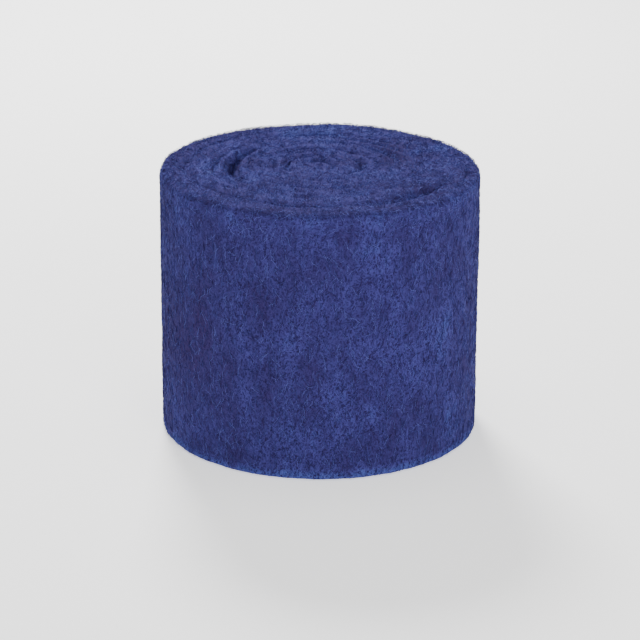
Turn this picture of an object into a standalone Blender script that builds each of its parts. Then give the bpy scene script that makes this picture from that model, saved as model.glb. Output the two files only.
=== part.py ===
"""A roll of wool felt: one long strip wound on itself, standing on its cut edges.

Metres, +Z up. The origin lies on the surface that the roll stands on, under the middle of the
winding. The strip starts in the middle, winds outwards anticlockwise seen from above, and its
outer end lies flat against the back of the roll. The turns press on each other and hold together,
so the roll is one body. At both ends of the roll the turns part into soft ridges, with a groove
between each turn and the next.
"""
import math

import bmesh
import bpy

# Driving sizes
STRIP_WIDTH = 0.150        # the felt's cut width, so the height of the roll at its rim
ROLL_RADIUS = 0.0885       # outside of the roll, pressed round
FELT_THICKNESS = 0.0073    # one layer, as it lies in the winding
TURNS = 11.25              # the strip's windings, counted from the middle to the outer end
STATIONS_PER_TURN = 36     # cross-sections in one turn, ten degrees apart

# The outer end, pressed thin against the turn beneath it
END_THICKNESS = 0.0022
END_TAPER = 0.15           # of a turn, over which the strip thins to its end

# The soft edges of a turn and the groove to its neighbour
EDGE_ROUND_TOP = 0.0024    # how far down a turn's edge is rounded at the roll's upper end
EDGE_ROUND_FOOT = 0.0016   # the same at the foot, where the roll's weight flattens the edges
SHOULDER = 0.55            # a ridge's crown starts this share of the rounding in from its face
SHOULDER_DROP = 0.15       # and lies this share of the rounding below the crown
GROOVE_WIDTH = 0.0009      # between two turns that touch
GROOVE_DEPTH_TOP = 0.0075
GROOVE_DEPTH_FOOT = 0.0040
GAP_DEPTH = 2.5            # an open gap deepens its groove by this many times the gap's width
WALL_START = 0.0045        # the side's straight wall starts this far from either end
EYE_SINK = 0.0012          # the middle lies this far below the first turn's ridge
START_TUCK = 0.3           # of a turn, over which the strip's tucked-in start takes its ridge

# Where turns stand apart. Each gap is centred on a place along the winding, in turns from the
# middle, and fades out over its spread to either side.
GAPS = [
    {"turn": 1.00, "spread": 0.30, "width": 0.0008},
    {"turn": 2.95, "spread": 0.45, "width": 0.0012},
    {"turn": 5.80, "spread": 0.08, "width": 0.0014},
    {"turn": 6.08, "spread": 0.10, "width": 0.0016},
    {"turn": 6.50, "spread": 0.12, "width": 0.0034},
    {"turn": 7.48, "spread": 0.10, "width": 0.0016},
    {"turn": 8.27, "spread": 0.11, "width": 0.0020},
    {"turn": 8.95, "spread": 0.08, "width": 0.0008},
    {"turn": 9.46, "spread": 0.09, "width": 0.0007},
    {"turn": 10.88, "spread": 0.14, "width": 0.0018},
]

# How far each turn's upper edge stands above the strip's width, because the strip was not wound
# quite level. Places between two rows run evenly from one to the next.
RISES = [
    {"turn": 0.0, "rise": 0.0006},
    {"turn": 1.0, "rise": 0.0014},
    {"turn": 2.3, "rise": 0.0022},
    {"turn": 3.2, "rise": 0.0014},
    {"turn": 4.4, "rise": 0.0024},
    {"turn": 5.3, "rise": 0.0017},
    {"turn": 6.2, "rise": 0.0022},
    {"turn": 7.1, "rise": 0.0012},
    {"turn": 8.4, "rise": 0.0017},
    {"turn": 9.3, "rise": 0.0008},
    {"turn": 10.3, "rise": 0.0006},
    {"turn": 11.3, "rise": 0.0000},
]

FELT_COLOUR = (0.040, 0.051, 0.178, 1.0)
FELT_ROUGHNESS = 0.95
CREASE_ANGLE = math.radians(50)
WELD_DISTANCE = 0.00001
SECTION_POINTS = 7         # across one layer, from its inner groove to its outer one


def smooth(share):
    """0 to 1 with level ends, for a share from 0 to 1."""
    share = min(1.0, max(0.0, share))
    return share * share * (3.0 - 2.0 * share)


def gap_at(turn):
    """The open width between the felt at this place and the turn inside it."""
    return sum(g["width"] * smooth(1.0 - abs(turn - g["turn"]) / g["spread"]) for g in GAPS)


def end_taper(turn):
    """1 along the strip, falling to 0 at its outer end."""
    return smooth((TURNS - turn) / END_TAPER)


def past_end(turn):
    """1 just past the outer end, where the turn beneath comes out, falling to 0 further on."""
    return smooth(1.0 - (turn - TURNS + 1.0) / END_TAPER)


def lay_radius(turn):
    """Inner face of the felt as first wound: a layer for each turn, and every gap inside it."""
    opened = sum(gap_at(turn - inner) for inner in range(int(turn) + 1))
    return FELT_THICKNESS * turn + opened


def press(turn):
    """How much the felt gives on this bearing, so that the finished roll is round."""
    bearing = turn % 1.0
    last = bearing + math.floor(TURNS - bearing)
    dip = END_THICKNESS * max(1.0 - end_taper(last), past_end(last))
    return (ROLL_RADIUS - dip) / (lay_radius(last) + FELT_THICKNESS * end_taper(last))


def inner_face(turn):
    return lay_radius(turn) * press(turn)


def outer_face(turn):
    """The next turn's inner face less the gap to it or, on the last turn, the roll's outside."""
    if turn + 1.0 <= TURNS:
        return inner_face(turn + 1.0) - gap_at(turn + 1.0) * press(turn)
    full = FELT_THICKNESS * press(turn)
    return inner_face(turn) + END_THICKNESS + (full - END_THICKNESS) * end_taper(turn)


def rise_at(turn):
    for low, high in zip(RISES, RISES[1:]):
        if turn <= high["turn"]:
            share = (turn - low["turn"]) / (high["turn"] - low["turn"])
            return low["rise"] + (high["rise"] - low["rise"]) * share
    return RISES[-1]["rise"]


def groove_point(turn, groove_depth):
    """Bottom of the groove inside this place on the winding, as a radius and a depth."""
    gap = gap_at(turn) * press(turn)
    depth = (groove_depth + GAP_DEPTH * gap) * smooth(turn)
    return inner_face(turn) - gap / 2.0, depth


def ridge_section(turn, edge_round, groove_depth):
    """Section across one layer at an end of the roll, as radii and depths below the ridge."""
    inside, outside = inner_face(turn), outer_face(turn)
    if turn + 1.0 <= TURNS:
        last = groove_point(turn + 1.0, groove_depth)
        outside -= GROOVE_WIDTH / 2.0
    else:
        last = (outside, WALL_START)
    first = groove_point(turn, groove_depth)
    inside += min(GROOVE_WIDTH / 2.0, 0.2 * (outside - inside))
    soft = edge_round * smooth(turn / START_TUCK)
    shoulder = min(SHOULDER * edge_round, 0.25 * (outside - inside))
    return [
        first,
        (inside, soft),
        (inside + shoulder, SHOULDER_DROP * soft),
        ((inside + outside) / 2.0, 0.0),
        (outside - shoulder, SHOULDER_DROP * soft),
        (outside, soft),
        last,
    ]


def wind_upper_end(turn):
    """Points across the layer at the roll's upper end, as radii and heights."""
    ridge = STRIP_WIDTH + rise_at(turn)
    section = ridge_section(turn, EDGE_ROUND_TOP, GROOVE_DEPTH_TOP)
    outward = [(radius, ridge - depth) for radius, depth in section[:-1]]
    last_radius, last_depth = section[-1]
    last_ridge = STRIP_WIDTH + rise_at(min(turn + 1.0, TURNS))
    return outward + [(last_radius, last_ridge - last_depth)]


def wind_foot(turn):
    """The same at the foot, where every ridge is flat on the surface beneath."""
    section = ridge_section(turn, EDGE_ROUND_FOOT, GROOVE_DEPTH_FOOT)
    flat = {2, 4}
    return [(radius, 0.0 if i in flat else depth) for i, (radius, depth) in enumerate(section)]


def add_end(bm, points_across, eye_height):
    """One end of the roll: a grid laid along the winding and welded to itself turn by turn.

    The hole that the first turn leaves in the middle is closed with a low fan.
    """
    stations = round(TURNS * STATIONS_PER_TURN) + 1
    grid = bmesh.ops.create_grid(
        bm, x_segments=stations - 1, y_segments=SECTION_POINTS - 1, size=0.5
    )["verts"]
    for station in range(stations):
        turn = station / STATIONS_PER_TURN
        angle = 2.0 * math.pi * turn
        for across, (radius, height) in enumerate(points_across(turn)):
            vert = grid[across * stations + station]
            vert.co = (radius * math.cos(angle), radius * math.sin(angle), height)
    bmesh.ops.remove_doubles(bm, verts=grid, dist=WELD_DISTANCE)
    eye_radius = 1.5 * inner_face(1.0)
    eye = [
        edge for edge in bm.edges
        if edge.is_boundary and max(vert.co.xy.length for vert in edge.verts) < eye_radius
    ]
    cap = bmesh.ops.holes_fill(bm, edges=eye)["faces"]
    for vert in bmesh.ops.poke(bm, faces=cap)["verts"]:
        vert.co.z = eye_height


def felt_material():
    material = bpy.data.materials.new("wool_felt")
    material.use_nodes = True
    shader = material.node_tree.nodes["Principled BSDF"]
    shader.inputs["Base Color"].default_value = FELT_COLOUR
    shader.inputs["Roughness"].default_value = FELT_ROUGHNESS
    shader.inputs["Metallic"].default_value = 0.0
    return material


def felt_roll(collection):
    bm = bmesh.new()
    add_end(bm, wind_upper_end, STRIP_WIDTH + rise_at(0.5) - EYE_SINK)
    add_end(bm, wind_foot, EYE_SINK)
    bmesh.ops.bridge_loops(bm, edges=[edge for edge in bm.edges if edge.is_boundary])
    bmesh.ops.recalc_face_normals(bm, faces=bm.faces)
    mesh = bpy.data.meshes.new("felt_roll")
    bm.to_mesh(mesh)
    bm.free()
    mesh.shade_smooth()
    mesh.set_sharp_from_angle(angle=CREASE_ANGLE)
    mesh.materials.append(felt_material())
    roll = bpy.data.objects.new("felt_roll", mesh)
    collection.objects.link(roll)
    return roll


for old in list(bpy.data.objects):
    bpy.data.objects.remove(old)
roll_collection = bpy.data.collections.new("roll_of_felt")
bpy.context.scene.collection.children.link(roll_collection)
felt_roll(roll_collection)
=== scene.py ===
import math

import bpy
from mathutils import Matrix, Vector


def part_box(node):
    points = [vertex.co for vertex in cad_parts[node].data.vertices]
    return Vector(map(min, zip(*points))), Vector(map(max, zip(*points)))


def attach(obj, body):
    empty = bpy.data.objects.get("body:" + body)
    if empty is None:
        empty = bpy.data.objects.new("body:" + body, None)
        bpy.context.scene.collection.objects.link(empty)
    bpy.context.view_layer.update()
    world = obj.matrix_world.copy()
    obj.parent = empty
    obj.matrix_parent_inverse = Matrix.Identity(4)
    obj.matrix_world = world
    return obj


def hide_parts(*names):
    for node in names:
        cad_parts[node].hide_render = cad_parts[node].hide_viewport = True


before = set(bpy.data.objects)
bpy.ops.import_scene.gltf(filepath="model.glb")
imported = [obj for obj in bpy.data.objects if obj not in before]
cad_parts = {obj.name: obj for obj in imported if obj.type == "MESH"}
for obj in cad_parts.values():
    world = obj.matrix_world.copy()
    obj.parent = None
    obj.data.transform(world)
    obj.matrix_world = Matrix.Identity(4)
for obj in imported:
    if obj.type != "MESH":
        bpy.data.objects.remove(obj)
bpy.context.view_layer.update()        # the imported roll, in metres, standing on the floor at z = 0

# Camera
# It stands well back with a long lens and looks down at the roll by about twenty degrees. The
# middle of the picture falls a little below the roll's own middle.
AIM_HEIGHT = 0.0738
CAMERA_DISTANCE = 1.573
CAMERA_ELEVATION = math.radians(19.47)
CAMERA_TURN = math.radians(0.29)
LENS_LENGTH = 157.45
PICTURE_DROP = 0.0125      # how far below the aim the middle of the picture lies, at the roll
PICTURE_RIGHT = 0.0004     # and how far to its right
SENSOR_WIDTH = 36.0        # in millimetres, as the lens length is


def facing(place, target):
    """Where a camera or a lamp stands, and how it is turned, to look from a place at a target."""
    turned = (target - place).to_track_quat("-Z", "Y").to_matrix().to_4x4()
    return Matrix.Translation(place) @ turned


camera = bpy.data.objects.new("camera", bpy.data.cameras.new("camera"))
camera.data.lens = LENS_LENGTH
camera.data.sensor_width = SENSOR_WIDTH
bpy.context.scene.collection.objects.link(camera)
bpy.context.scene.camera = camera
toward_camera = Vector((0.0, -math.cos(CAMERA_ELEVATION), math.sin(CAMERA_ELEVATION)))
picture_up = Vector((0.0, math.sin(CAMERA_ELEVATION), math.cos(CAMERA_ELEVATION)))
aim = Vector((0.0, 0.0, AIM_HEIGHT))
camera_place = aim + toward_camera * CAMERA_DISTANCE
picture_middle = aim - picture_up * PICTURE_DROP + Vector((PICTURE_RIGHT, 0.0, 0.0))
camera.matrix_world = facing(camera_place, picture_middle) @ Matrix.Rotation(CAMERA_TURN, 4, "Z")

# Felt strip, wound
# One cut strip of thick, soft wool felt, wound on itself from the middle and standing on its cut
# edge. Its turns press together, and part at the ends of the roll into soft ridges. The outer end
# is pressed thin on the turn beneath it, at the back.
roll_low, roll_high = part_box("felt_roll")
ROLL_RADIUS = (roll_high.x - roll_low.x) / 2.0
STRIP_WIDTH = 0.150
FELT_THICKNESS = 0.0073
TURNS = 11.25
END_THICKNESS = 0.0022
END_TAPER = 0.15           # of a turn, over which the strip thins to its end
STATIONS = 200             # cross-sections in one turn
COLUMNS = 13               # points across one layer, groove to groove
ROWS = 76                  # faces down the roll's side
RIDGE_SHARE = 2.0 / 3.0    # of the columns lie on the ridge, and the others on the grooves' walls
EDGE_ROUND = 0.0009        # how far a turn's cut edge falls to the next where they part
RIM_ROUND = 0.0034         # how far down the roll's outside edge is rounded
SEAM_WIDTH = 0.0009        # of the soft seam between two turns that touch
SEAM_DEPTH = 0.0003        # and its depth
GAP_DEPTH = 1.8            # an open gap deepens its seam by this many times the gap's width
GAP_LIP = 0.8              # and its edges fall by this many times that width
NARROW_GAP = 0.0007        # soft felt fills a gap as narrow as this
OPEN_GAP = 0.0020          # and leaves one as wide as this open
PARTING_SIZE = 0.020       # along the other grooves, the turns part and close over such lengths
CLOSED_SHARE = 0.05        # and where they close, this share of the rounding and depth is left
PARTS_FROM = 0.45          # of the noise that parts them: below this they are closed
PARTED_FROM = 0.70         # and above this they are wholly parted
LAST_SHARE = 0.2           # the last turn lies closer: this share of its parting is left
LAST_EASE = 0.6            # of a turn, over which the parting falls to that share
WALL_START = 0.0045        # the side's straight wall starts this far from either end
EYE_SINK = 0.0004          # the middle lies this far below the first turn's ridge
EYE_RADIUS = 0.0006        # what lies nearer to the middle than this is drawn to one point
FOOT_SHARE = 0.6           # the foot's ridges are this share as high as the upper end's
FOOT_PRESS = 0.0002        # and the roll's weight takes this much off them
WELD_DISTANCE = 0.00001
WANDER = 0.0006            # how far the felt wanders off its even place
WANDER_SIZE = 0.024        # over lengths like this
LUMP_HEIGHT = 0.0004       # how far its soft lumps stand up or sink in
LUMP_SIZE = 0.0060
LUMP_DETAIL = 3.0

# Where turns stand apart: the place along the winding in turns from the middle, how far to either
# side the gap fades out, and its width.
GAPS = [
    {"turn": 1.00, "spread": 0.30, "width": 0.0006},
    {"turn": 2.50, "spread": 0.18, "width": 0.0023},
    {"turn": 3.02, "spread": 0.20, "width": 0.0026},
    {"turn": 4.81, "spread": 0.10, "width": 0.0007},
    {"turn": 6.08, "spread": 0.12, "width": 0.0022},
    {"turn": 6.50, "spread": 0.17, "width": 0.0054},
    {"turn": 7.14, "spread": 0.12, "width": 0.0019},
    {"turn": 7.49, "spread": 0.12, "width": 0.0020},
    {"turn": 8.27, "spread": 0.11, "width": 0.0012},
    {"turn": 9.46, "spread": 0.10, "width": 0.0013},
    {"turn": 9.88, "spread": 0.13, "width": 0.0020},
    {"turn": 10.98, "spread": 0.10, "width": 0.0013},
]

# How far each turn's upper edge stands above the strip's width, as it was not wound quite level
RISES = [
    {"turn": 0.0, "rise": 0.0006},
    {"turn": 1.0, "rise": 0.0014},
    {"turn": 2.3, "rise": 0.0022},
    {"turn": 3.2, "rise": 0.0014},
    {"turn": 4.4, "rise": 0.0024},
    {"turn": 5.3, "rise": 0.0017},
    {"turn": 6.2, "rise": 0.0022},
    {"turn": 7.1, "rise": 0.0012},
    {"turn": 8.4, "rise": 0.0017},
    {"turn": 9.3, "rise": 0.0008},
    {"turn": 10.3, "rise": 0.0006},
    {"turn": TURNS, "rise": 0.0000},
]
HIGHEST_RISE = max(row["rise"] for row in RISES)


def add(tree, kind, inputs=None, **settings):
    """A node with its settings, and with numbers or other nodes' outputs in its inputs."""
    made = tree.nodes.new(kind)
    for name, value in settings.items():
        setattr(made, name, value)
    for place, value in (inputs or {}).items():
        value = value.socket if isinstance(value, Field) else value
        if isinstance(value, bpy.types.NodeSocket):
            tree.links.new(value, made.inputs[place])
        else:
            made.inputs[place].default_value = value
    return made


class Field:
    """A number that a node tree works out at each point, so that a rule reads as arithmetic."""

    def __init__(self, tree, socket):
        self.tree = tree
        self.socket = socket

    def then(self, operation, *others):
        inputs = dict(enumerate((self, *others)))
        made = add(self.tree, "ShaderNodeMath", inputs, operation=operation)
        return Field(self.tree, made.outputs[0])

    def __add__(self, other):
        return self.then("ADD", other)

    def __sub__(self, other):
        return self.then("SUBTRACT", other)

    def __mul__(self, other):
        return self.then("MULTIPLY", other)

    def __truediv__(self, other):
        return self.then("DIVIDE", other)

    def less_from(self, whole):
        return (self * -1.0) + whole

    def mapped(self, low, high, to_low=0.0, to_high=1.0, ease="SMOOTHSTEP"):
        """Goes from one value to another as this number goes from low to high, and stays there."""
        inputs = {0: self, 1: low, 2: high, 3: to_low, 4: to_high}
        made = add(self.tree, "ShaderNodeMapRange", inputs, interpolation_type=ease)
        return Field(self.tree, made.outputs[0])

    def choose(self, at_nought, at_one):
        """A blend of two numbers, by this one's share of the second."""
        made = add(self.tree, "ShaderNodeMix", {0: self, 2: at_nought, 3: at_one})
        return Field(self.tree, made.outputs[0])


def new_tree(name, sizes):
    """A tree with a geometry input and a named input for each size, as fields by name."""
    tree = bpy.data.node_groups.new(name, "GeometryNodeTree")
    kinds = {float: "NodeSocketFloat", int: "NodeSocketInt", bpy.types.Material: "NodeSocketMaterial"}
    tree.interface.new_socket("Geometry", in_out="INPUT", socket_type="NodeSocketGeometry")
    for label, value in sizes.items():
        socket = tree.interface.new_socket(label, in_out="INPUT", socket_type=kinds[type(value)])
        socket.default_value = value
    entry = tree.nodes.new("NodeGroupInput")
    return tree, {socket.name: Field(tree, socket) for socket in entry.outputs if socket.name}


def close_tree(tree, **results):
    """Gives the tree its outputs, named as the results are."""
    leave = tree.nodes.new("NodeGroupOutput")
    for label, value in results.items():
        kind = "NodeSocketGeometry" if label == "Geometry" else "NodeSocketFloat"
        tree.interface.new_socket(label, in_out="OUTPUT", socket_type=kind)
        tree.links.new(value.socket if isinstance(value, Field) else value, leave.inputs[label])


def grow(tree, name, start, sizes):
    """Runs a tree on a mesh, and gives the result as a plain mesh object with no modifier."""
    piece = bpy.data.objects.new(name, start)
    bpy.context.scene.collection.objects.link(piece)
    modifier = piece.modifiers.new(name, "NODES")
    modifier.node_group = tree
    for socket in tree.interface.items_tree:
        if socket.in_out == "INPUT" and socket.name in sizes:
            modifier[socket.identifier] = sizes[socket.name]
    graph = bpy.context.evaluated_depsgraph_get()
    result = bpy.data.meshes.new_from_object(piece.evaluated_get(graph), depsgraph=graph)
    piece.modifiers.remove(modifier)
    piece.data = result
    result.name = name
    return piece


def lay_tree():
    """The radius and the gap at a place along the strip, as it is laid before it is pressed."""
    tree, size = new_tree("lay_turns", {"Turn": 0.0, "Felt Thickness": FELT_THICKNESS})
    turn = size["Turn"]
    radius = turn.then("MAXIMUM", 0.0) * size["Felt Thickness"]
    gap_here = turn * 0.0
    for gap in GAPS:
        past = turn - gap["turn"]
        gap_here += past.then("ABSOLUTE").mapped(gap["spread"], 0.0, 0.0, gap["width"])
        around = past.then("WRAP", 0.5, -0.5).then("ABSOLUTE")
        opened = around.mapped(gap["spread"], 0.0, 0.0, gap["width"])
        radius += opened * past.then("GREATER_THAN", -gap["spread"])
    close_tree(tree, Radius=radius, Gap=gap_here)
    return tree


def rise_at(turn):
    """The height of the upper edge at this turn, over the strip's width."""
    share = turn.then("MAXIMUM", 0.0) / TURNS
    curve = add(turn.tree, "ShaderNodeFloatCurve", {1: share})
    line = curve.mapping.curves[0]
    for row in RISES[1:-1]:
        line.points.new(row["turn"] / TURNS, row["rise"] / HIGHEST_RISE)
    line.points[0].location = (0.0, RISES[0]["rise"] / HIGHEST_RISE)
    line.points[-1].location = (1.0, RISES[-1]["rise"] / HIGHEST_RISE)
    curve.mapping.update()
    return Field(turn.tree, curve.outputs[0]) * HIGHEST_RISE


def chart(tree, columns, rows, place):
    """A flat chart of one face of the roll: at each point its turn, its share across the layer
    and its share of the way down."""
    flat = add(tree, "GeometryNodeMeshGrid", {0: 1.0, 1: 1.0, 2: columns, 3: rows})
    spot = add(tree, "GeometryNodeInputPosition").outputs[0]
    x, y = (part + 0.5 for part in parts_of(tree, spot)[:2])
    turn, across, down = place(x, y)
    charted = point(tree, turn, across, down)
    moved = add(tree, "GeometryNodeSetPosition", {0: flat.outputs[0], 2: charted})
    return moved.outputs[0]


def noise(tree, size, where, detail=2.0, roughness=0.5, draw=0.0):
    """Cloudy values from 0 to 1, whose lumps are about the given size. Each draw is another cloud."""
    inputs = {"Vector": where, "W": draw, "Scale": 1.0 / size, "Detail": detail, "Roughness": roughness}
    return add(tree, "ShaderNodeTexNoise", inputs, noise_dimensions="4D")


def cloud(tree, *settings, **named):
    """The same cloudy values, as a number to work with."""
    return Field(tree, noise(tree, *settings, **named).outputs[0])


def point(tree, x, y=0.0, z=0.0):
    """A vector made of three numbers."""
    return add(tree, "ShaderNodeCombineXYZ", {0: x, 1: y, 2: z}).outputs[0]


def vector(tree, operation, *inputs):
    """A vector that a node tree works out. SCALE takes a vector and a number, and the others two."""
    places = (0, 3) if operation == "SCALE" else (0, 1)
    made = add(tree, "ShaderNodeVectorMath", dict(zip(places, inputs)), operation=operation)
    return made.outputs[0]


def parts_of(tree, value):
    """The three parts of a vector."""
    return [Field(tree, part) for part in add(tree, "ShaderNodeSeparateXYZ", {0: value}).outputs]


def swing_of(tree, size, where, reach, **settings):
    """A wandering offset, as far each way as the given reach."""
    swirl = noise(tree, size, where, **settings).outputs["Color"]
    return vector(tree, "SCALE", vector(tree, "SUBTRACT", swirl, (0.5, 0.5, 0.5)), reach)


def winding_tree(sizes):
    """Winds the strip: charts of both ends and the side, placed on the spiral, welded, roughened."""
    tree, size = new_tree("wind_felt_strip", sizes)
    turns, stations, columns = size["Turns"], size["Stations"], size["Columns"]
    lay = lay_tree()

    def laid(at):
        made = add(tree, "GeometryNodeGroup", node_tree=lay)
        tree.links.new(at.socket, made.inputs["Turn"])
        tree.links.new(size["Felt Thickness"].socket, made.inputs["Felt Thickness"])
        return Field(tree, made.outputs["Radius"]), Field(tree, made.outputs["Gap"])

    def upper(x, y):
        return x * (turns + 1.0) - 1.0, y.less_from(1.0), 0.0

    def foot(x, y):
        return x * (turns + 1.0) - 1.0, y, 1.0

    def side(x, y):
        step = x * (stations + columns - 1.0)
        turn = turns - 1.0 + step.then("MINIMUM", stations) / stations
        over_end = (step - stations).then("MAXIMUM", 0.0) / (columns - 1.0)
        return turn, over_end.less_from(1.0), y.less_from(1.0)

    along = (turns + 1.0) * stations + 1.0
    joined = add(tree, "GeometryNodeJoinGeometry")
    tree.links.new(chart(tree, along, columns, upper), joined.inputs[0])
    tree.links.new(chart(tree, along, columns, foot), joined.inputs[0])
    tree.links.new(chart(tree, stations + columns, size["Rows"] + 1.0, side), joined.inputs[0])

    # Where a point of the charts lies: its turn, its share across the layer, its share down
    spot = add(tree, "GeometryNodeInputPosition").outputs[0]
    turn, across, down = parts_of(tree, spot)
    is_outer = across.then("GREATER_THAN", 0.5)
    outward = is_outer * 2.0 - 1.0
    from_crown = (across * 2.0 - 1.0).then("ABSOLUTE")
    on_ridge = (from_crown / RIDGE_SHARE).then("MINIMUM", 1.0)
    in_groove = (from_crown - RIDGE_SHARE).then("MAXIMUM", 0.0) / (1.0 - RIDGE_SHARE)
    swing = on_ridge * (math.pi / 2.0)
    on_last = turn.then("GREATER_THAN", turns - 1.0 + 0.5 / STATIONS)
    on_rim = is_outer * on_last
    reach = on_rim.choose(on_ridge, swing.then("SINE"))
    fall = on_rim.choose(on_ridge.mapped(0.0, 1.0), swing.then("COSINE").less_from(1.0))

    # The faces of the layer, pressed so that the finished roll is round
    bearing = turn * (2.0 * math.pi)
    laid_here, gap_here = laid(turn)
    laid_next, gap_next = laid(turn + 1.0)
    last = turn + (turns - turn).then("FLOOR")
    laid_last, _ = laid(last)
    taper = (turns - last).mapped(0.0, END_TAPER)
    past_end = (last - turns + 1.0).mapped(END_TAPER, 0.0)
    dip = taper.less_from(1.0).then("MAXIMUM", past_end) * END_THICKNESS
    press = dip.less_from(size["Roll Radius"]) / (laid_last + taper * size["Felt Thickness"])
    gap_here, gap_next = gap_here * press, gap_next * press * on_last.less_from(1.0)
    inner = laid_here * press
    pressed_end = inner + taper.choose(END_THICKNESS, size["Felt Thickness"] * press)
    outer = on_last.choose(laid_next * press - gap_next, pressed_end)
    groove_middle = is_outer.choose(inner - gap_here * 0.5, outer + gap_next * 0.5)
    eastward, northward = bearing.then("COSINE"), bearing.then("SINE")
    groove_spot = point(tree, groove_middle * eastward, groove_middle * northward)
    parted = cloud(tree, PARTING_SIZE, groove_spot)
    parted = parted.mapped(PARTS_FROM, PARTED_FROM, CLOSED_SHARE, 1.0)
    parted = parted * (turn + is_outer - turns).mapped(-1.0 - LAST_EASE, -1.0, 1.0, LAST_SHARE)
    gap_beside = is_outer.choose(gap_here, gap_next)
    open_beside = gap_beside * gap_beside.mapped(NARROW_GAP, OPEN_GAP)
    begun = (turn + 1.0).mapped(0.0, 1.0)
    parting = open_beside.then("MAXIMUM", SEAM_WIDTH) - gap_beside
    inset = parting * 0.5 * begun * on_rim.less_from(1.0)
    inside, outside = inner + inset, outer - inset
    edge = is_outer.choose(inside, outside)
    radius = (inside + outside) * 0.5 + outward * (outside - inside) * reach * 0.5
    radius += in_groove * (groove_middle - edge)
    middle = radius.then("LESS_THAN", EYE_RADIUS)
    radius = radius * middle.less_from(1.0)

    # Depth below the ridge, then the height at the upper end and at the foot
    eye = begun.less_from(1.0) * EYE_SINK
    lip = parted * size["Edge Round"] + gap_beside * GAP_LIP
    rounding = on_rim.choose(lip, size["Rim Round"])
    ridge_depth = eye + begun * fall * rounding
    edge_depth = eye + begun * rounding
    seam_depth = lip + open_beside * GAP_DEPTH + parted * SEAM_DEPTH
    inner_depth = turn.mapped(0.0, 1.0).choose(EYE_SINK, seam_depth)
    outer_depth = begun.choose(EYE_SINK, seam_depth)
    groove_depth = is_outer.choose(inner_depth, on_last.choose(outer_depth, WALL_START))
    depth = ridge_depth + in_groove * (groove_depth - edge_depth)
    ridge_turn = (turn + across - 0.5).then("MINIMUM", turns)
    upper_height = size["Strip Width"] + rise_at(ridge_turn) - depth
    foot_height = (depth * FOOT_SHARE - FOOT_PRESS).then("MAXIMUM", 0.0)
    upper_eye = STRIP_WIDTH + RISES[0]["rise"] - EYE_SINK
    foot_eye = EYE_SINK * FOOT_SHARE - FOOT_PRESS
    height = middle.choose(down.choose(upper_height, foot_height), down.choose(upper_eye, foot_eye))
    wound = point(tree, radius * eastward, radius * northward, height)
    placed = add(tree, "GeometryNodeSetPosition", {0: joined.outputs[0], 2: wound})
    welded = add(tree, "GeometryNodeMergeByDistance", {0: placed.outputs[0], 2: WELD_DISTANCE})

    # The felt's own unevenness: turns that wander a little, and soft lumps
    wandered = swing_of(tree, WANDER_SIZE, spot, size["Wander"] * 2.0)
    eased = add(tree, "GeometryNodeSetPosition", {0: welded.outputs[0], 3: wandered})
    lumps = (cloud(tree, LUMP_SIZE, spot, LUMP_DETAIL) - 0.5) * size["Lump Height"] * 2.0
    lumped = vector(tree, "SCALE", add(tree, "GeometryNodeInputNormal").outputs[0], lumps)
    rough = add(tree, "GeometryNodeSetPosition", {0: eased.outputs[0], 3: lumped})
    x, y, z = parts_of(tree, spot)
    on_floor = point(tree, x, y, z.then("MAXIMUM", 0.0))
    stood = add(tree, "GeometryNodeSetPosition", {0: rough.outputs[0], 2: on_floor})
    soft = add(tree, "GeometryNodeSetShadeSmooth", {0: stood.outputs[0]})
    real = add(tree, "GeometryNodeRealizeInstances", {0: soft.outputs[0]})
    felted = add(tree, "GeometryNodeSetMaterial", {0: real.outputs[0], 2: size["Felt"]})
    close_tree(tree, Geometry=felted.outputs[0])
    return tree


# The felt's colours, from its darkest dye to the palest fibres, and the sizes of its pattern
PORE = (0.020, 0.014, 0.074, 1.0)
DEEP_VIOLET = (0.038, 0.022, 0.100, 1.0)
DEEP_BLUE = (0.040, 0.035, 0.155, 1.0)
INDIGO = (0.053, 0.050, 0.220, 1.0)
WORN_BLUE = (0.066, 0.090, 0.340, 1.0)
DEEP_BLUE_AT = 0.42        # where the two middle dyes lie, from the deepest at 0 to the palest at 1
INDIGO_AT = 0.65
FELT_ROUGHNESS = 0.95
WOOL_GLOSS = 0.05
FELT_SHEEN = 0.03
SHEEN_ROUGHNESS = 0.6
SHEEN_TINT = (0.35, 0.40, 0.95, 1.0)
CUT_EDGE_PALER = 0.12      # the cut edge is this much paler: partly for its open fibres, partly painted light for the stronger light on the top
HANDLED_PALER = 0.15       # the felt is rubbed paler just below its rim
PAINTED_FLOOR_LIGHT = 0.60          # painted light: the side is this much paler at its foot, for the light that the pale floor throws up on it
RIM_DEEPER = 0.12          # the cut edge is a little deeper in tone towards the rim
CLOUD_SIZE = 0.022
CLOUD_STRETCH = 0.5        # up and down, the clouds of dye are this share as fine
CLOUD_DETAIL = 6.0
CLOUD_ROUGHNESS = 0.72
CLOUD_LEVELS = (0.26, 0.74)
STRAND_SIZE = 0.0015
STRAND_WIDTH = 0.13        # how much of the noise's range makes one line of the net
STRAND_STRETCH = 0.70      # up and down, where strands mostly run, the net is this share as fine
HAIR_SIZE = 0.0012
HAIR_WIDTH = 0.11
HAIR_STRETCH = 0.85
HAIR_SHARE = 0.75          # hairs are this share as light as strands
CUT_FIBRE_SIZE = 0.0007    # on the cut edge the pattern is of fibres' ends, and so finer
CUT_FIBRE_WIDTH = 0.16
NET_DETAIL = 1.0
SWIRL_SIZE = 0.0045
SWIRL_REACH = 0.0016
FIBRE_RELIEF = 0.0003
RELIEF_STRENGTH = 0.5

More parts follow.
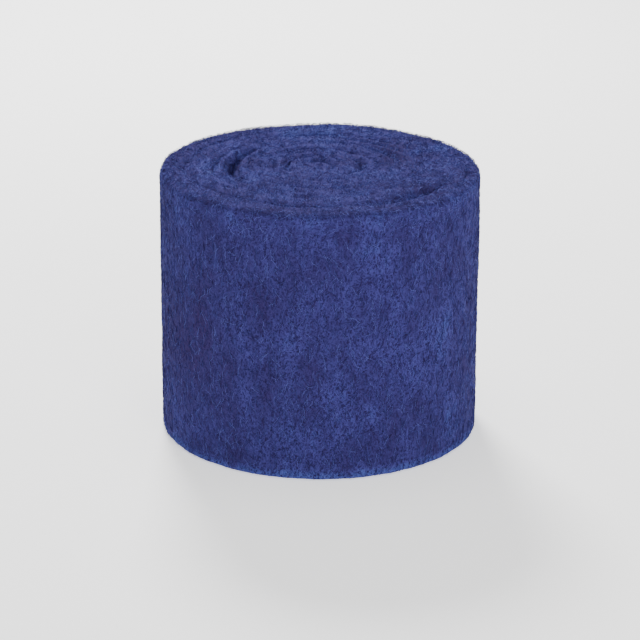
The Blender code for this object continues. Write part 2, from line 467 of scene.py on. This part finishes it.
# Where these looks come in: from none to full, over heights or over shares of the roll's radius
CUT_EDGE_HEIGHTS = (STRIP_WIDTH - 0.006, STRIP_WIDTH)
CUT_EDGE_RADII = (0.94, 0.86)
SIDE_RADII = (0.93, 0.97)
HANDLED_HEIGHTS = (STRIP_WIDTH - 0.012, STRIP_WIDTH - 0.004)
FOOT_HEIGHTS = (0.008, 0.001)
RIM_HEIGHTS = (STRIP_WIDTH - 0.002, STRIP_WIDTH)
RIM_RADII = (0.70, 0.95)

# Where the felt is paler (tone above 0) or deeper in tone, and how far that reaches. Most patches are
# clouds of uneven dye; the dark ones on the cut edge are painted shade in the gaps where turns part, the
# wide pale one at its back is painted light, and the wide dark one on the left of the side is painted
# shade. A patch lies on a bearing in degrees, 270 being the front, at a height on the side or at a radius
# on the cut edge.
PATCH_WARP_SIZE = 0.014
PATCH_WARP = 0.008         # a patch's outline wanders by this much
PATCH_FADE = 1.3           # a patch fades out at this many times its reach
DYE_SHADE_AND_LIGHT_PATCHES = [
    {"bearing": 210, "height": 0.135, "reach": 0.010, "tone": 0.30},
    # painted shade: the wide dark patch on the left of the side
    {"bearing": 215, "height": 0.070, "reach": 0.045, "tone": -0.22},
    {"bearing": 215, "height": 0.030, "reach": 0.012, "tone": -0.20},
    {"bearing": 225, "height": 0.110, "reach": 0.010, "tone": -0.20},
    {"bearing": 225, "height": 0.080, "reach": 0.010, "tone": -0.20},
    {"bearing": 260, "height": 0.120, "reach": 0.009, "tone": -0.18},
    {"bearing": 265, "height": 0.130, "reach": 0.009, "tone": 0.12},
    {"bearing": 285, "height": 0.130, "reach": 0.011, "tone": 0.20},
    {"bearing": 290, "height": 0.030, "reach": 0.012, "tone": 0.22},
    {"bearing": 305, "height": 0.055, "reach": 0.009, "tone": 0.12},
    {"bearing": 320, "height": 0.080, "reach": 0.009, "tone": 0.10},
    {"bearing": 320, "height": 0.050, "reach": 0.011, "tone": -0.15},
    {"bearing": 325, "height": 0.110, "reach": 0.012, "tone": -0.22},
    # on the cut edge, the dark patches are painted shade in the gaps where turns part
    {"bearing": 10, "radius": 0.020, "reach": 0.009, "tone": -0.35},
    {"bearing": 15, "radius": 0.045, "reach": 0.012, "tone": -0.50},
    {"bearing": 30, "radius": 0.060, "reach": 0.009, "tone": 0.30},
    {"bearing": 30, "radius": 0.075, "reach": 0.014, "tone": 0.20},
    {"bearing": 40, "radius": 0.055, "reach": 0.012, "tone": -0.50},
    # painted light: the wide pale patch at the back of the cut edge
    {"bearing": 90, "radius": 0.070, "reach": 0.035, "tone": 0.45},
    {"bearing": 175, "radius": 0.045, "reach": 0.010, "tone": -0.40},
    {"bearing": 180, "radius": 0.020, "reach": 0.010, "tone": -0.35},
    {"bearing": 325, "radius": 0.070, "reach": 0.012, "tone": -0.35},
]


def net_of(tree, place, size, stretch, width, draw):
    """A net of curly light lines with dark pores between them: 1 on a line, 0 in a pore."""
    laid = add(tree, "ShaderNodeMapping", {0: place, "Scale": (1.0, 1.0, stretch)}).outputs[0]
    level = cloud(tree, size, laid, detail=NET_DETAIL, draw=draw)
    return (level - 0.5).then("ABSOLUTE").mapped(0.0, width, 1.0, 0.0, "SMOOTHERSTEP")


def felt_finish():
    """Matted wool: a net of strands and finer hairs over dark pores, in clouds of uneven dye, with
    painted shade and painted light in places.
    """
    material = bpy.data.materials.new("wool_felt")
    material.use_nodes = True
    tree = material.node_tree
    shader = tree.nodes["Principled BSDF"]
    shader.inputs["Roughness"].default_value = FELT_ROUGHNESS
    shader.inputs["Specular IOR Level"].default_value = WOOL_GLOSS
    shader.inputs["Sheen Weight"].default_value = FELT_SHEEN
    shader.inputs["Sheen Roughness"].default_value = SHEEN_ROUGHNESS
    shader.inputs["Sheen Tint"].default_value = SHEEN_TINT
    place = add(tree, "ShaderNodeTexCoord").outputs["Object"]
    swirled = vector(tree, "ADD", place, swing_of(tree, SWIRL_SIZE, place, 2.0 * SWIRL_REACH))
    strands = net_of(tree, swirled, STRAND_SIZE, STRAND_STRETCH, STRAND_WIDTH, draw=1.0)
    hairs = net_of(tree, swirled, HAIR_SIZE, HAIR_STRETCH, HAIR_WIDTH, draw=2.0)
    cut_fibres = net_of(tree, swirled, CUT_FIBRE_SIZE, 1.0, CUT_FIBRE_WIDTH, draw=3.0)
    x, y, height = parts_of(tree, place)
    away = (x * x + y * y).then("SQRT") / ROLL_RADIUS
    cut_edge = height.mapped(*CUT_EDGE_HEIGHTS) * away.mapped(*CUT_EDGE_RADII)
    matted = cut_edge.choose(strands.then("MAXIMUM", hairs * HAIR_SHARE), cut_fibres)
    stretch = (1.0, 1.0, CLOUD_STRETCH)
    cloud_place = add(tree, "ShaderNodeMapping", {0: place, "Scale": stretch}).outputs[0]
    clouds = cloud(tree, CLOUD_SIZE, cloud_place, CLOUD_DETAIL, CLOUD_ROUGHNESS)
    # painted light: the cut edge paler, partly for its open fibres and partly for the stronger light on
    # the top
    dye_and_painted_light_level = clouds.mapped(*CLOUD_LEVELS, ease="LINEAR") + cut_edge * CUT_EDGE_PALER
    on_side = away.mapped(*SIDE_RADII)
    dye_and_painted_light_level += height.mapped(*HANDLED_HEIGHTS) * on_side * HANDLED_PALER
    # painted light: paler at the foot, for the light that the pale floor throws up on the side
    dye_and_painted_light_level += height.mapped(*FOOT_HEIGHTS) * on_side * PAINTED_FLOOR_LIGHT
    dye_and_painted_light_level -= height.mapped(*RIM_HEIGHTS) * away.mapped(*RIM_RADII) * RIM_DEEPER
    warp = swing_of(tree, PATCH_WARP_SIZE, place, 2.0 * PATCH_WARP, draw=4.0)
    warped = vector(tree, "ADD", place, warp)
    # the patches add uneven dye, painted shade and painted light, each as listed above
    for patch in DYE_SHADE_AND_LIGHT_PATCHES:
        bearing = math.radians(patch["bearing"])
        out, up = patch.get("radius", ROLL_RADIUS), patch.get("height", STRIP_WIDTH)
        middle = (out * math.cos(bearing), out * math.sin(bearing), up)
        apart = add(tree, "ShaderNodeVectorMath", {0: warped, 1: middle}, operation="DISTANCE")
        fade = PATCH_FADE * patch["reach"]
        dye_and_painted_light_level += Field(tree, apart.outputs["Value"]).mapped(fade, 0.0, 0.0, patch["tone"])
    dye = add(tree, "ShaderNodeValToRGB", {0: dye_and_painted_light_level})
    ramp = dye.color_ramp
    ramp.elements[0].color = DEEP_VIOLET
    ramp.elements[1].color = WORN_BLUE
    ramp.elements.new(DEEP_BLUE_AT).color = DEEP_BLUE
    ramp.elements.new(INDIGO_AT).color = INDIGO
    colour = add(tree, "ShaderNodeMix", {0: matted, 6: PORE, 7: dye.outputs[0]}, data_type="RGBA")
    tree.links.new(colour.outputs[2], shader.inputs["Base Color"])
    relief = {"Height": matted, "Distance": FIBRE_RELIEF, "Strength": RELIEF_STRENGTH}
    bump = add(tree, "ShaderNodeBump", relief)
    tree.links.new(bump.outputs[0], shader.inputs["Normal"])
    return material


felt = felt_finish()
winding_sizes = {
    "Strip Width": STRIP_WIDTH,
    "Roll Radius": ROLL_RADIUS,
    "Felt Thickness": FELT_THICKNESS,
    "Turns": TURNS,
    "Stations": STATIONS,
    "Columns": COLUMNS,
    "Rows": ROWS,
    "Edge Round": EDGE_ROUND,
    "Rim Round": RIM_ROUND,
    "Wander": WANDER,
    "Lump Height": LUMP_HEIGHT,
    "Felt": felt,
}
nothing_yet = bpy.data.meshes.new("start")
winding = grow(winding_tree(winding_sizes), "felt_winding", nothing_yet, winding_sizes)
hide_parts("felt_roll")
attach(winding, "root")

# Loose fibres
# The wool's own fibres, which felting leaves on the surface: fine, curled and pressed flat, mostly
# upright on the roll's side and every way on its cut edge. Their ends are tucked into the felt, and
# each shade of dye is a lot of its own.
FIBRE_SIDES = 3
FIBRE_TAPER = 4.0          # a fibre keeps its thickness nearly to its ends: more so the larger this is
FIBRE_TIP = 0.25           # and its ends are this share as thick as its middle
FIBRE_ROUGHNESS = 0.9
LENGTH_SPREAD = 0.45       # a fibre is up to this share longer or shorter than its lot's length
SIDE_REACH = 0.97          # of the roll's radius, past which upright felt is the roll's side
SIDE_TILT = 0.6            # and it faces up or down by less than this, 1 being straight up
EDGE_TILTS = (0.4, 0.6)    # felt that faces up by more than this is the cut edge
PATCH_SIZE = 0.016         # fibres lie closer in patches of this size
PATCH_LEVELS = (0.3, 0.7)
PATCH_THINNEST = 0.25      # between patches this share of them is left
HANDLED_FIBRE_HEIGHTS = (STRIP_WIDTH - 0.014, STRIP_WIDTH - 0.004)
RIM_FIBRE_RADII = (0.91, 0.94)
RIM_FIBRE_TILTS = (0.1, 0.5)
SIDE_LEAN = math.radians(80.0)   # how far a fibre of the side may lean off upright
EDGE_LEAN = math.radians(90.0)   # fibres of the cut edge lie every way
LEAN_POWER = 0.7           # most lean less than that, and the fewer the smaller this is
LEAN_TILTS = (0.4, 0.7)    # over these the felt's tilt takes a fibre from the one lean to the other
LEAN_HEIGHTS = (STRIP_WIDTH - 0.020, STRIP_WIDTH - 0.002)  # and so does its height near the rim
CURL_SIZE = 0.0035
SIDE_LIFT = 0.0004         # how far a fibre's middle may stand off the felt of the side
EDGE_LIFT = 0.0018         # and off the cut edge, where fibres stand more open
OPEN_TILTS = (0.4, 0.8)    # over these the felt's tilt takes the lift from the one to the other
LOFT_SIZE = 0.0022         # fibres rise and fall over lengths like this
LOFT_LEVELS = (0.3, 0.7)
EDGE_LENGTH = 0.65         # on the cut edge they are this share as long as on the side
OUTLINE_SHARE = 0.90       # past this share of the roll's radius they lie flatter again
RIM_LIFT_SHARE = 0.55      # and at the rim this share of that lift is left
RIM_CLOSER = 1.7           # along the rim they lie this many times as close
TUCK = 0.0002              # how deep a fibre's ends go into the felt

# One lot for each shade: how many fibres lie on a square metre of the side, how many times as close they
# lie on the cut edge, below the rim where the felt is rubbed, and at the foot, where closer pale fibres
# are painted light from the floor, and a fibre's own sizes and points.
FIBRE_LOTS = [
    {"name": "fibres_violet", "dye": (0.036, 0.022, 0.098), "seed": 1,
     "density": 60000.0, "edge_share": 1.2, "rubbed_and_floor_lit_share": 0.3,
     "length": 0.0050, "thickness": 0.00024, "curl": 0.0018, "points": 5},
    {"name": "fibres_dark_blue", "dye": (0.034, 0.030, 0.132), "seed": 2,
     "density": 70000.0, "edge_share": 1.5, "rubbed_and_floor_lit_share": 0.4,
     "length": 0.0050, "thickness": 0.00024, "curl": 0.0018, "points": 5},
    {"name": "fibres_blue", "dye": (0.040, 0.038, 0.168), "seed": 3,
     "density": 85000.0, "edge_share": 1.7, "rubbed_and_floor_lit_share": 0.9,
     "length": 0.0050, "thickness": 0.00022, "curl": 0.0018, "points": 5},
    {"name": "fibres_light", "dye": (0.060, 0.068, 0.270), "seed": 4,
     "density": 80000.0, "edge_share": 2.0, "rubbed_and_floor_lit_share": 1.8,
     "length": 0.0050, "thickness": 0.00019, "curl": 0.0020, "points": 5},
    {"name": "fibres_pale", "dye": (0.125, 0.142, 0.470), "seed": 5,
     "density": 43000.0, "edge_share": 2.4, "rubbed_and_floor_lit_share": 2.4,
     "length": 0.0066, "thickness": 0.00016, "curl": 0.0026, "points": 8},
]


def fibre_tree(sizes):
    """Scatters points on the surface, lays a fibre at each, curls it along the felt, rounds it."""
    tree, size = new_tree("lay_fibres", sizes)
    surface = size["Geometry"].socket
    spot = add(tree, "GeometryNodeInputPosition").outputs[0]
    normal = add(tree, "GeometryNodeInputNormal").outputs[0]

    def draw(low, high, which):
        inputs = {2: low, 3: high, 8: size["Seed"] * 10.0 + float(which)}
        return Field(tree, add(tree, "FunctionNodeRandomValue", inputs, data_type="FLOAT").outputs[1])

    # Where fibres lie: the side and the upper end, closer in patches
    x, y, height = parts_of(tree, spot)
    reach = (x * x + y * y).then("SQRT")
    tilt = parts_of(tree, normal)[2]
    upright_felt = tilt.then("ABSOLUTE").then("LESS_THAN", SIDE_TILT)
    on_side = upright_felt * reach.then("GREATER_THAN", ROLL_RADIUS * SIDE_REACH)
    # fibres lie closer on the cut edge, the pale ones most: partly painted light for the stronger light
    # on the top
    covered = on_side.then("MAXIMUM", tilt.mapped(*EDGE_TILTS) * size["Edge Share"])
    # fibres lie closer where the felt is rubbed below the rim, and at the foot, where the closer pale
    # fibres are painted light from the floor
    handled = height.mapped(*HANDLED_FIBRE_HEIGHTS)
    rubbed_and_floor_lit = handled.then("MAXIMUM", height.mapped(*FOOT_HEIGHTS))
    covered = covered * (rubbed_and_floor_lit * on_side).choose(1.0, size["Rubbed And Floor Lit Share"])
    at_rim = (reach / ROLL_RADIUS).mapped(*RIM_FIBRE_RADII) * tilt.mapped(*RIM_FIBRE_TILTS)
    covered = covered * at_rim.choose(1.0, RIM_CLOSER)
    patches = cloud(tree, PATCH_SIZE, spot, draw=size["Seed"])
    patched = patches.mapped(*PATCH_LEVELS, PATCH_THINNEST, 1.0, "LINEAR")
    strewn = {0: surface, 4: size["Density"] * covered * patched, 6: size["Seed"]}
    scattered = add(tree, "GeometryNodeDistributePointsOnFaces", strewn)
    up = scattered.outputs[1]

    # Each fibre's direction, on the felt: upright on the side and every way on the cut edge
    standing = add(tree, "FunctionNodeAlignRotationToVector", {2: up}, axis="Z")
    around = vector(tree, "CROSS_PRODUCT", (0.0, 0.0, 1.0), spot)
    lying = add(tree, "FunctionNodeAlignRotationToVector", {0: standing.outputs[0], 2: around},
                axis="X", pivot_axis="Z")
    any_way = draw(-1.0, 1.0, 1) * size["Edge Lean"]
    upright = draw(-1.0, 1.0, 1) * draw(0.0, 1.0, 2).then("POWER", LEAN_POWER) * size["Side Lean"]
    on_edge = parts_of(tree, up)[2].mapped(*LEAN_TILTS)
    near_rim = height.mapped(*LEAN_HEIGHTS)
    angle = on_edge.choose(near_rim.choose(upright, any_way) + math.pi / 2.0, any_way)
    turned = add(tree, "FunctionNodeAxisAngleToRotation", {0: (0.0, 0.0, 1.0), 1: angle})
    rotation = add(tree, "FunctionNodeRotateRotation", {0: lying.outputs[0], 1: turned.outputs[0]},
                   rotation_space="LOCAL")
    own_length = draw(1.0 - LENGTH_SPREAD, 1.0 + LENGTH_SPREAD, 3) * on_edge.choose(1.0, EDGE_LENGTH)
    stretch = point(tree, own_length, 1.0, 1.0)
    half = size["Length"] * 0.5
    ends = {0: point(tree, half * -1.0), 1: point(tree, half)}
    line = add(tree, "GeometryNodeCurvePrimitiveLine", ends)
    strand = add(tree, "GeometryNodeResampleCurve", {0: line.outputs[0], 2: size["Points"]})
    named = add(tree, "GeometryNodeStoreNamedAttribute", {
        0: scattered.outputs[0], 2: "own_curl", 3: draw(0.0, 100.0, 4),
    }, data_type="FLOAT", domain="POINT")
    laid = add(tree, "GeometryNodeInstanceOnPoints", {
        0: named.outputs[0], 2: strand.outputs[0], 5: rotation.outputs[0], 6: stretch,
    })
    single = add(tree, "GeometryNodeRealizeInstances", {0: laid.outputs[0]})

    # Curl it, then press it on the nearest felt, with its ends tucked in
    own_curl = add(tree, "GeometryNodeInputNamedAttribute", {0: "own_curl"}, data_type="FLOAT").outputs[0]
    curl = swing_of(tree, CURL_SIZE, spot, size["Curl"] * 2.0, draw=own_curl)
    curled = add(tree, "GeometryNodeSetPosition", {0: single.outputs[0], 3: curl})
    nearest = add(tree, "GeometryNodeProximity", {0: surface}, target_element="FACES").outputs[0]
    felt_up = add(tree, "GeometryNodeSampleNearestSurface", {0: surface, 1: normal},
                  data_type="FLOAT_VECTOR").outputs[0]
    along = Field(tree, add(tree, "GeometryNodeSplineParameter").outputs[0]) * 2.0 - 1.0
    belly = along.then("ABSOLUTE").then("POWER", FIBRE_TAPER).less_from(1.0)
    loft = cloud(tree, LOFT_SIZE, spot, detail=0.0, draw=own_curl).mapped(*LOFT_LEVELS)
    away_x, away_y, _ = parts_of(tree, nearest)
    away = (away_x * away_x + away_y * away_y).then("SQRT") / ROLL_RADIUS
    inside_rim = away.mapped(1.0, OUTLINE_SHARE, RIM_LIFT_SHARE, 1.0)
    open_felt = parts_of(tree, felt_up)[2].mapped(*OPEN_TILTS) * inside_rim
    lift = open_felt.choose(size["Side Lift"], size["Edge Lift"])
    loft_here = belly * (loft * lift + TUCK) - TUCK
    pressed = vector(tree, "ADD", nearest, vector(tree, "SCALE", felt_up, loft_here))
    felted = add(tree, "GeometryNodeSetPosition", {0: curled.outputs[0], 2: pressed})
    off_floor = point(tree, x, y, height.then("MAXIMUM", size["Thickness"]))
    lifted = add(tree, "GeometryNodeSetPosition", {0: felted.outputs[0], 2: off_floor})
    ring = add(tree, "GeometryNodeCurvePrimitiveCircle", {0: FIBRE_SIDES, 4: size["Thickness"] * 0.5})
    thinned = belly * (1.0 - FIBRE_TIP) + FIBRE_TIP
    rounded = add(tree, "GeometryNodeCurveToMesh", {
        0: lifted.outputs[0], 1: ring.outputs[0], 2: thinned, 3: True,
    })
    soft = add(tree, "GeometryNodeSetShadeSmooth", {0: rounded.outputs[0]})
    real = add(tree, "GeometryNodeRealizeInstances", {0: soft.outputs[0]})
    dyed = add(tree, "GeometryNodeSetMaterial", {0: real.outputs[0], 2: size["Dye"]})
    close_tree(tree, Geometry=dyed.outputs[0])
    return tree


def dyed_wool(name, dye):
    """Matt wool, dyed one shade."""
    material = bpy.data.materials.new(name)
    material.use_nodes = True
    shader = material.node_tree.nodes["Principled BSDF"]
    shader.inputs["Base Color"].default_value = (*dye, 1.0)
    shader.inputs["Roughness"].default_value = FIBRE_ROUGHNESS
    shader.inputs["Specular IOR Level"].default_value = WOOL_GLOSS
    return material


def fibre_sizes(lot):
    """What the fibres' tree is told about one lot."""
    return {
        "Density": lot["density"],
        "Edge Share": lot["edge_share"],
        "Rubbed And Floor Lit Share": lot["rubbed_and_floor_lit_share"],
        "Points": lot["points"],
        "Length": lot["length"],
        "Thickness": lot["thickness"],
        "Side Lift": SIDE_LIFT,
        "Edge Lift": EDGE_LIFT,
        "Curl": lot["curl"],
        "Side Lean": SIDE_LEAN,
        "Edge Lean": EDGE_LEAN,
        "Seed": lot["seed"],
        "Dye": dyed_wool("wool_" + lot["name"], lot["dye"]),
    }


sizes_of_lots = [fibre_sizes(lot) for lot in FIBRE_LOTS]
laying = fibre_tree(sizes_of_lots[0])
for lot, lot_sizes in zip(FIBRE_LOTS, sizes_of_lots):
    fibres = grow(laying, lot["name"], winding.data.copy(), lot_sizes)
    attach(fibres, "root")

# Studio
# A plain pale floor and soft light: a broad light overhead, one behind that throws the roll's
# shadow forward, and one as strong as the first to the right of the camera.
FLOOR_REACH = 6.0
FLOOR_DROP = 0.0002        # the floor lies this far below the roll's foot
FLOOR_CORNERS = ((-1, -1), (1, -1), (1, 1), (-1, 1))
PAPER_WHITE = (0.9, 0.9, 0.9, 1.0)
PAPER_ROUGHNESS = 0.8
PAPER_GLOW = 0.9           # it gives off some light of its own, so that it stays pale
WHITE_LIGHT = (1.0, 1.0, 1.0, 1.0)
ROOM_LIGHT = 0.18

floor_mesh = bpy.data.meshes.new("floor")
corners = [(x * FLOOR_REACH, y * FLOOR_REACH, -FLOOR_DROP) for x, y in FLOOR_CORNERS]
floor_mesh.from_pydata(corners, [], [(0, 1, 2, 3)])
floor = bpy.data.objects.new("floor", floor_mesh)
bpy.context.scene.collection.objects.link(floor)
paper = bpy.data.materials.new("pale_paper")
paper.use_nodes = True
paper_shader = paper.node_tree.nodes["Principled BSDF"]
paper_shader.inputs["Base Color"].default_value = PAPER_WHITE
paper_shader.inputs["Roughness"].default_value = PAPER_ROUGHNESS
paper_shader.inputs["Emission Color"].default_value = WHITE_LIGHT
paper_shader.inputs["Emission Strength"].default_value = PAPER_GLOW
floor_mesh.materials.append(paper)

LIGHTS = [
    {"name": "overhead", "place": (0.0, 0.0, 1.8), "width": 1.2, "power": 15.5},
    {"name": "behind", "place": (-0.25, 1.3, 1.2), "width": 0.5, "power": 54.0},
    {"name": "by_camera", "place": (0.7, -1.65, 0.8), "width": 0.9, "power": 15.5},
]
for row in LIGHTS:
    lamp = bpy.data.objects.new(row["name"], bpy.data.lights.new(row["name"], "AREA"))
    lamp.data.shape = "DISK"
    lamp.data.size = row["width"]
    lamp.data.energy = row["power"]
    lamp.matrix_world = facing(Vector(row["place"]), aim)
    bpy.context.scene.collection.objects.link(lamp)

world = bpy.data.worlds.new("pale_room")
world.use_nodes = True
backdrop = world.node_tree.nodes["Background"]
backdrop.inputs["Color"].default_value = WHITE_LIGHT
backdrop.inputs["Strength"].default_value = ROOM_LIGHT
bpy.context.scene.world = world
